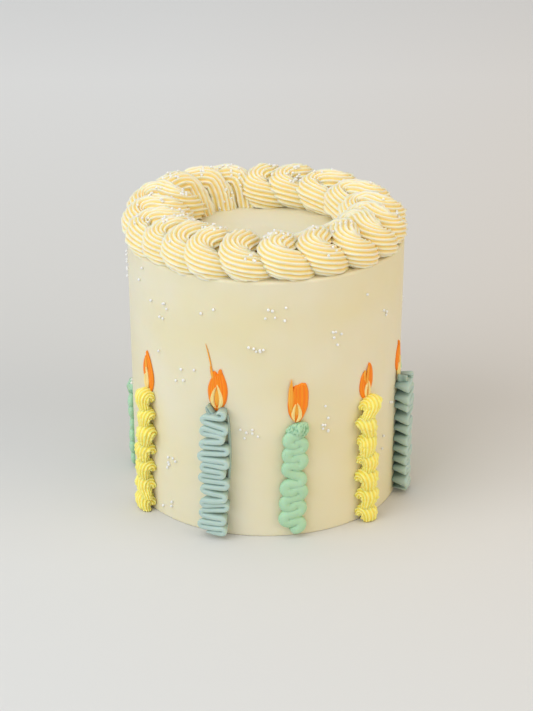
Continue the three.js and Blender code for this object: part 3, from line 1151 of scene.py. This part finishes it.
@dataclass
class RibbonCandle:
    """Blue candle: a petal-tip ribbon on edge, folded from side to side."""

    cake: CakeShape
    number: int
    spot: Spot
    folds: float = 10.5
    half_width: float = 6.1 * MM
    turn_radius: float = 1.65 * MM
    foot: float = 2.4 * MM
    curl: float = 235.0
    stray: float = 1.3 * MM
    proud: float = 9.0 * MM
    thin: float = 3.2 * MM
    flange: float = 1.6 * MM
    flange_reach: float = 0.6 * MM
    droop: float = 0.9 * MM
    columns: int = 26
    loose_ends: tuple[Smear, ...] = (
        Smear((0.6, -6.0), (-3.4, -3.2), (-4.4, 1.4), 1.5, 4.6, 2.4),
        Smear((5.4, -52.0), (7.9, -28.0), (6.0, -4.0), 0.85, 2.4),
    )

    def build(self, pantry: Pantry) -> bpy.types.Object:
        """Make the ribbon.

        The section is a long rounded strip that stands out from the wall. It is thin, a
        little thicker at its outer edge, and spreads on the wall by flange * exp(-out /
        flange_reach), so that the feet of the folds join in a wavy flange. Its loops open
        from 0.54 of their height on the wall to 1.04 at the outer edge, which hangs by
        droop * share ** 2, share being the distance out over proud. A pointed curl at the
        top left and a thin upright edge at the right are loose.

        Returns:
            The candle's object.
        """
        rng = np.random.default_rng(200 + self.number)
        height = self.spot.height * MM
        route = FoldedPath(height, self.folds, self.half_width, self.turn_radius, self.foot, self.curl)
        path = route.points(rng, self.stray)
        rows = len(path)
        forward = travel(path)
        left = np.stack([-forward[:, 1], forward[:, 0]], -1)
        way = np.linspace(0.0, 1.0, rows)
        reach = int(rows / (4.0 * self.folds))
        padded = np.concatenate([np.full(reach, path[0, 1]), path[:, 1], np.full(reach, path[-1, 1])])
        climb = np.convolve(padded, np.ones(2 * reach + 1) / (2 * reach + 1), "valid")[:, None]
        turn = np.arange(self.columns) / self.columns * FULL_TURN
        strip = np.sign(np.cos(turn)) * np.abs(np.cos(turn)) ** 0.35
        bulge = np.sign(np.sin(turn)) * np.abs(np.sin(turn)) ** 0.8
        out = (0.5 + 0.5 * strip)[None, :] * (self.proud + wander(rng, way, 0.8 * MM, 6, 4.0)[:, None])
        share = out / self.proud
        thick = self.thin * (0.58 + 0.44 * share) + self.flange * np.exp(-out / self.flange_reach)
        thick = thick + wander(rng, way, 0.3 * MM, 8, 6.0)[:, None]
        ends = np.clip(np.minimum(way, 1.0 - way) / 0.012, 0.05, 1.0)[:, None] ** 0.5
        offset = 0.5 * thick * bulge[None, :] * ends
        across = path[:, :1] * (0.84 + 0.22 * share) + left[:, :1] * offset
        z = climb + (path[:, 1:] + left[:, 1:] * offset - climb) * (0.54 + 0.5 * share)
        z = z - self.droop * share ** 2
        across = across + self.spot.lean * MM * z / height
        world = self.cake.on_wall(self.spot.angle, across, out + 0.05 * MM, np.maximum(z, 0.4 * MM))
        # painted shade: the ribbon takes the groove colour near the wall, where the folds shade it
        groove = 0.9 * np.clip(1.0 - share * 1.15, 0.0, 1.0) ** 1.5
        skin = Skin()
        skin.add_loops(world, groove + 0.0 * offset)
        for stroke in self.loose_ends:
            skin.add_loops(*stroke.loops(self.cake, self.spot, rng))
        piece = skin.build(f"ribbon_candle_{self.number:02d}", pantry.get(Flavour.BLUE))
        install(piece, "blue_icing", f"candle_blue_{self.number:02d}")
        return piece


@dataclass
class BeadCandle:
    """Green candle: a thick soft bead laid from side to side, ending in a rough slanted lobe."""

    cake: CakeShape
    number: int
    spot: Spot
    folds: float = 6.5
    half_width: float = 7.6 * MM
    bead: float = 3.35 * MM
    proud: float = 5.2 * MM
    columns: int = 24

    def top_lobe(self, rng: np.random.Generator) -> tuple[np.ndarray, np.ndarray]:
        """The last short stroke across the top: a fat lobe with a torn, pitted face.

        Args:
            rng: where its unevenness comes from.

        Returns:
            Its loops and their groove numbers.
        """
        s = np.linspace(0.0, 1.0, 30)
        turn = np.arange(36) / 36.0 * FULL_TURN
        size = np.maximum(np.sin(math.pi * s), 0.0) ** 0.42 * (4.1 + 0.7 * s) * MM
        rough = rng.normal(0.0, 1.0, (30, 36))
        rough = (rough + np.roll(rough, 1, 1) + np.roll(rough, 1, 0)) * 0.12 * MM
        rough = rough * np.sin(math.pi * s)[:, None] ** 0.5
        reach = size[:, None] + np.where(np.sin(turn)[None, :] > 0.2, rough, 0.0)
        middle = (-6.4 + 13.0 * s) * MM
        rise = self.spot.height * MM - (8.2 - 3.4 * s ** 0.7) * MM
        across = middle[:, None] - 0.25 * reach * np.cos(turn)[None, :] + self.spot.lean * MM
        z = rise[:, None] + reach * np.cos(turn)[None, :]
        out = np.maximum(0.66 * reach * (0.95 + np.sin(turn)[None, :]), 0.05 * MM)
        loops = self.cake.on_wall(self.spot.angle, across, out, z)
        # painted shade: the dips of the torn face take the groove colour
        groove = np.clip(-rough / (0.3 * MM), 0.0, 0.8)
        return loops[:, ::-1], groove[:, ::-1]

    def build(self, pantry: Pantry) -> bpy.types.Object:
        """Make the bead, an oval section with soft swells along it, with painted shade near the wall."""
        rng = np.random.default_rng(300 + self.number)
        pitch = (self.spot.height - 3.0) * MM / (self.folds + 0.4)
        climb = (self.spot.height - 3.0) * MM
        route = FoldedPath(climb, self.folds, self.half_width - self.bead, 0.26 * pitch, self.bead)
        path = route.points(rng, 0.6 * MM)
        way = np.linspace(0.0, 1.0, len(path))
        forward = travel(path)
        left = np.stack([-forward[:, 1], forward[:, 0]], -1)
        turn = np.arange(self.columns) / self.columns * FULL_TURN
        size = 1.0 + wander(rng, way, 0.08, 6, 4.0)
        ends = np.clip(np.minimum(way, 1.0 - way) / 0.02, 0.04, 1.0) ** 0.5
        offset = (self.bead * size * ends)[:, None] * np.cos(turn)[None, :]
        height = 0.5 * self.proud * (size * (0.4 + 0.6 * ends))[:, None]
        out = height * (0.9 + np.sin(turn)[None, :]) + wander(rng, way, 0.25 * MM, 6, 3.0)[:, None]
        across = path[:, :1] + left[:, :1] * offset
        z = path[:, 1:] + left[:, 1:] * offset
        across = across + self.spot.lean * MM * z / (self.spot.height * MM)
        out_held = np.maximum(out, 0.05 * MM)
        world = self.cake.on_wall(self.spot.angle, across, out_held, np.maximum(z, 0.4 * MM))
        # painted shade: the bead takes the groove colour near the wall, where it is shaded
        groove = np.clip(1.0 - out / (0.7 * self.proud), 0.0, 1.0) ** 1.2
        skin = Skin()
        skin.add_loops(world, groove)
        skin.add_loops(*self.top_lobe(rng))
        piece = skin.build(f"bead_candle_{self.number:02d}", pantry.get(Flavour.GREEN))
        install(piece, "green_icing", f"candle_green_{self.number:02d}")
        return piece


@dataclass
class Flame:
    """A flame over one candle: orange strokes, amber strokes and a pale heart."""

    cake: CakeShape
    number: int
    spot: Spot

    def piece(
        self, name: str, strokes: tuple[Smear, ...], finish: bpy.types.Material, rng: np.random.Generator
    ) -> bpy.types.Object:
        """Make one of the flame's pieces from its strokes.

        Args:
            name: the piece's name.
            strokes: its strokes.
            finish: its icing.
            rng: where its unevenness comes from.

        Returns:
            The new object.
        """
        skin = Skin()
        for stroke in strokes:
            skin.add_loops(*stroke.loops(self.cake, self.spot, rng))
        return skin.build(f"{name}_{self.number:02d}", finish)

    def build(self, pantry: Pantry) -> None:
        """Make the flame's three pieces: its body, its lick and its heart."""
        rng = np.random.default_rng(400 + self.number)
        style = self.spot.flame.value
        body = self.piece("flame_body", style.orange, pantry.get(Flavour.ORANGE), rng)
        install(body, "orange_icing", f"flame_{self.number:02d}")
        lick = self.piece("flame_lick", style.amber, pantry.get(Flavour.AMBER), rng)
        install(lick, "orange_icing")
        heart = self.piece("flame_glow", style.heart, pantry.get(Flavour.GOLD), rng)
        install(heart, "gold_icing", f"flame_heart_{self.number:02d}")


# ---------------------------------------------------------------------------
# Sugar pearls
# ---------------------------------------------------------------------------


@dataclass(frozen=True)
class PearlGroup:
    """A few pearls that landed together on the side."""

    angle: float
    height: float
    count: int
    spread: float = 3.2


@dataclass
class Pearls:
    """White sugar pearls scattered over the border and the side."""

    cake: CakeShape
    border: RopeBorder
    radius: float = 0.82 * MM
    groups: tuple[PearlGroup, ...] = (
        PearlGroup(-46.2, 127.7, 5), PearlGroup(-26.3, 135.2, 2), PearlGroup(5.2, 133.1, 7, 4.0),
        PearlGroup(-3.4, 114.0, 6, 1.9), PearlGroup(28.6, 116.0, 5, 2.4), PearlGroup(-35.3, 91.9, 5, 3.0),
        PearlGroup(-6.3, 63.3, 6, 3.2), PearlGroup(24.6, 68.7, 7, 3.2), PearlGroup(-44.0, 34.4, 7, 3.8),
        PearlGroup(-50.4, 111.7, 1), PearlGroup(58.2, 119.6, 3), PearlGroup(57.6, 39.4, 2),
        PearlGroup(-60.2, 141.8, 2), PearlGroup(41.6, 145.2, 1), PearlGroup(-55.5, 135.6, 1),
        PearlGroup(-84.0, 138.0, 4, 3.6), PearlGroup(-47.7, 7.2, 1), PearlGroup(-41.6, 7.7, 2),
        PearlGroup(67.6, 65.8, 2),
    )

    heaps: tuple[PearlGroup, ...] = (
        PearlGroup(-156.0, 50.0, 15, 4.5), PearlGroup(-160.0, 60.0, 7, 4.0), PearlGroup(176.0, 62.0, 6, 3.0),
        PearlGroup(161.0, 53.0, 18, 4.5), PearlGroup(150.0, 60.0, 6, 4.0), PearlGroup(133.0, 57.0, 4, 3.0),
        PearlGroup(-60.0, 64.0, 14, 4.0), PearlGroup(-57.0, 50.0, 10, 4.0), PearlGroup(-92.0, 62.0, 15, 5.0),
        PearlGroup(-106.0, 50.0, 8, 4.0), PearlGroup(-140.0, 60.0, 5, 3.0), PearlGroup(-30.0, 57.0, 10, 4.0),
        PearlGroup(-5.0, 77.0, 6, 1.8), PearlGroup(4.0, 60.0, 14, 4.0), PearlGroup(26.0, 58.0, 3, 2.5),
        PearlGroup(43.0, 62.0, 4, 3.5), PearlGroup(28.0, 76.5, 3, 1.8), PearlGroup(79.0, 74.0, 2, 2.0),
        PearlGroup(92.0, 70.0, 3, 3.0), PearlGroup(-70.0, 74.0, 5, 3.0), PearlGroup(-45.0, 76.0, 3, 2.0),
        PearlGroup(-75.0, 52.0, 7, 4.0), PearlGroup(-120.0, 62.0, 7, 4.0), PearlGroup(-130.0, 72.0, 6, 4.0),
        PearlGroup(-170.0, 72.0, 5, 4.0), PearlGroup(120.0, 68.0, 6, 4.0),
    )

    def ball(self) -> tuple[np.ndarray, np.ndarray]:
        """A small round shell of 80 faces: an icosahedron with each face cut in four."""
        golden = (1.0 + math.sqrt(5.0)) / 2.0
        ends = [(a, b * golden, 0.0) for a in (-1, 1) for b in (-1, 1)]
        corners = np.array([np.roll(p, k) for k in range(3) for p in ends])
        corners = unit(corners)
        near = np.linalg.norm(corners[:, None] - corners[None], axis=-1) < 1.1
        faces = [(i, j, k) for i in range(12) for j in range(i + 1, 12) for k in range(j + 1, 12)
                 if near[i, j] and near[j, k] and near[i, k]]
        points = [tuple(c) for c in corners]
        triangles = []
        for face in faces:
            a, b, c = (corners[i] for i in face)
            middles = [tuple(unit(a + b)), tuple(unit(b + c)), tuple(unit(c + a))]
            first = len(points)
            points.extend(middles)
            triangles += [(face[0], first, first + 2), (face[1], first + 1, first)]
            triangles += [(face[2], first + 2, first + 1), (first, first + 1, first + 2)]
        shell = np.array(points)
        found, back = np.unique(np.round(shell, 6), axis=0, return_inverse=True)
        tris = back.reshape(-1)[np.array(triangles)]
        a, b, c = (found[tris[:, k]] for k in range(3))
        outward = np.einsum("ij,ij->i", np.cross(b - a, c - a), a + b + c) > 0
        tris = np.where(outward[:, None], tris, tris[:, ::-1])
        return found, tris

    def on_border(self, rng: np.random.Generator) -> list[np.ndarray]:
        """Pearls that rest on the strands.

        Each is dropped straight down round the middle of its heap and stops on the first
        strand it meets. A heap's height is its distance from the cake's axis.

        Args:
            rng: where the pearls land.

        Returns:
            Their middles.
        """
        points, faces, offset = [], [], 0
        for piece in self.border.pieces:
            mesh = piece.data
            co = np.empty(len(mesh.vertices) * 3, np.float32)
            mesh.vertices.foreach_get("co", co)
            points.extend(Vector(p) for p in co.reshape(-1, 3).astype(float))
            faces.extend([v + offset for v in polygon.vertices] for polygon in mesh.polygons)
            offset += len(mesh.vertices)
        tree = BVHTree.FromPolygons(points, faces)
        middles = []
        for heap in self.heaps:
            turn = np.radians(heap.angle + rng.normal(0.0, heap.spread / 1.1, heap.count))
            reach = (heap.height + rng.normal(0.0, heap.spread, heap.count)) * MM
            for angle, radius in zip(turn, reach):
                start = Vector((radius * math.sin(angle), -radius * math.cos(angle), 0.25))
                hit, _, _, _ = tree.ray_cast(start, Vector((0.0, 0.0, -1.0)))
                if hit is not None:
                    middles.append(np.array(hit) + np.array([0.0, 0.0, 0.6 * self.radius]))
        return middles

    def on_side(self, rng: np.random.Generator) -> list[np.ndarray]:
        """Pearls stuck to the side in small groups, half sunk in the coat's surface."""
        middles = []
        for group in self.groups:
            across = rng.normal(0.0, group.spread, group.count) * MM
            up = group.height * MM + rng.normal(0.0, group.spread, group.count) * MM
            up = np.clip(up, 1.2 * MM, None)
            middles.extend(self.cake.on_wall(group.angle, across, 0.55 * self.radius, up))
        for _ in range(26):
            angle = rng.uniform(85.0, 272.0)
            height = rng.uniform(8.0, 146.0)
            for _ in range(rng.integers(1, 6)):
                across = rng.normal(0.0, 3.0) * MM
                up = (height + rng.normal(0.0, 3.0)) * MM
                middles.append(self.cake.on_wall(angle, across, 0.55 * self.radius, up))
        return middles

    def build(self, pantry: Pantry) -> bpy.types.Object:
        """Make all the pearls as one piece."""
        rng = np.random.default_rng(77)
        shell, triangles = self.ball()
        skin = Skin()
        middles = self.on_border(rng) + self.on_side(rng)
        for middle in middles:
            skin.add_shell(middle + shell * self.radius * rng.uniform(0.92, 1.08), triangles)
        piece = skin.build("sugar_pearls", pantry.get(PearlGloss()))
        install(piece, "sugar_pearl")
        log.info("%d pearls", len(middles))
        return piece


# ---------------------------------------------------------------------------
# The studio
# ---------------------------------------------------------------------------


@dataclass(frozen=True)
class Lamp:
    """One square soft light that faces the cake's middle."""

    name: str
    place: Triple
    size: float
    watts: float
    colour: Triple

    def hang(self) -> None:
        """Add the light to the scene."""
        data = bpy.data.lights.new(self.name, "AREA")
        data.shape = "SQUARE"
        data.size = self.size
        data.energy = self.watts
        data.color = self.colour
        lamp = bpy.data.objects.new(self.name, data)
        lamp.location = self.place
        aim = Vector((0.0, 0.0, 0.08)) - Vector(self.place)
        lamp.rotation_euler = aim.to_track_quat("-Z", "Y").to_euler()
        bpy.context.scene.collection.objects.link(lamp)


@dataclass
class Studio:
    """Pale floor, soft light and the camera."""

    eye: Triple = (0.00047, -1.07166, 0.53066)
    look_down: float = 22.914
    lens: float = 101.17
    floor_half: float = 6.0
    lamps: tuple[Lamp, ...] = (
        Lamp("key_light", (-1.5, -1.3, 1.38), 2.1, 29.0, (0.95, 1.0, 1.05)),
        Lamp("warm_fill", (1.6, -0.9, 0.7), 1.3, 7.5, (1.0, 0.74, 0.34)),
        Lamp("warm_wall", (2.6, -0.6, 1.3), 2.6, 10.0, (1.0, 0.84, 0.56)),
        Lamp("over_light", (-0.2, -0.2, 2.3), 1.6, 9.0, (1.0, 0.97, 0.9)),
    )
    room_colour: Colour = (0.93, 0.96, 1.0, 1.0)
    room_strength: float = 0.56

    def floor(self, pantry: Pantry) -> None:
        """Lay the floor, a wide flat sheet just under the base."""
        half = self.floor_half
        mesh = bpy.data.meshes.new("floor")
        corners = [(-half, -half, 0), (half, -half, 0), (half, half, 0), (-half, half, 0)]
        mesh.from_pydata(corners, [], [(0, 1, 2, 3)])
        mesh.materials.append(pantry.get(StudioFloor()))
        sheet = bpy.data.objects.new("floor", mesh)
        bpy.context.scene.collection.objects.link(sheet)

    def room(self) -> None:
        """Fill the room with an even soft light."""
        world = bpy.data.worlds.new("soft_room")
        world.use_nodes = True
        background = world.node_tree.nodes["Background"]
        background.inputs["Color"].default_value = self.room_colour
        background.inputs["Strength"].default_value = self.room_strength
        bpy.context.scene.world = world

    def camera(self) -> None:
        """Set up the camera."""
        data = bpy.data.cameras.new("camera")
        data.sensor_width = 36.0
        data.lens = self.lens
        camera = bpy.data.objects.new("camera", data)
        camera.location = self.eye
        camera.rotation_euler = (math.radians(90.0 - self.look_down), 0.0, 0.0)
        bpy.context.scene.collection.objects.link(camera)
        bpy.context.scene.camera = camera
        bpy.context.scene.view_settings.view_transform = "Standard"
        bpy.context.scene.view_settings.look = "None"

    def build(self, pantry: Pantry) -> None:
        """Set up the floor, the lights, the room and the camera."""
        self.floor(pantry)
        for lamp in self.lamps:
            lamp.hang()
        self.room()
        self.camera()
        log.info("studio: %d lights", len(self.lamps))


class CandleKind(Enum):
    """The three sorts of piped candle."""

    YELLOW = ShellCandle
    BLUE = RibbonCandle
    GREEN = BeadCandle


CANDLES: tuple[tuple[CandleKind, Spot], ...] = (
    (CandleKind.GREEN, Spot(-101.5, 58.0, 0.0, FlameLook.TALL)),
    (CandleKind.YELLOW, Spot(-58.0, 77.0, 2.2, FlameLook.TALL)),
    (CandleKind.BLUE, Spot(-20.0, 79.0, 0.5, FlameLook.TWIN)),
    (CandleKind.GREEN, Spot(10.4, 72.5, 3.2, FlameLook.BROAD)),
    (CandleKind.YELLOW, Spot(45.0, 77.5, -0.6, FlameLook.FORKED)),
    (CandleKind.BLUE, Spot(75.5, 75.0, 0.0, FlameLook.TALL)),
    (CandleKind.GREEN, Spot(106.0, 73.0, 1.0, FlameLook.TWIN)),
    (CandleKind.YELLOW, Spot(136.5, 76.0, 0.0, FlameLook.BROAD)),
    (CandleKind.BLUE, Spot(167.0, 78.0, -1.0, FlameLook.TALL)),
    (CandleKind.GREEN, Spot(197.5, 72.0, 1.0, FlameLook.TWIN)),
    (CandleKind.YELLOW, Spot(228.0, 76.5, 0.5, FlameLook.FORKED)),
)


def main() -> None:
    """Build the cake, its border, candles, flames and pearls, and light them."""
    logging.basicConfig(level=logging.INFO, format="%(name)s %(message)s")
    pantry = Pantry()
    low, high = (np.array(corner, float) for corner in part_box("cake"))
    cake = CakeShape(low, high)
    cake.build(pantry)
    border = RopeBorder(cake)
    border.build(pantry)
    for number, (kind, spot) in enumerate(CANDLES, start=1):
        kind.value(cake, number, spot).build(pantry)
        Flame(cake, number, spot).build(pantry)
    Pearls(cake, border).build(pantry)
    Studio().build(pantry)


if __name__ == "__main__":
    main()
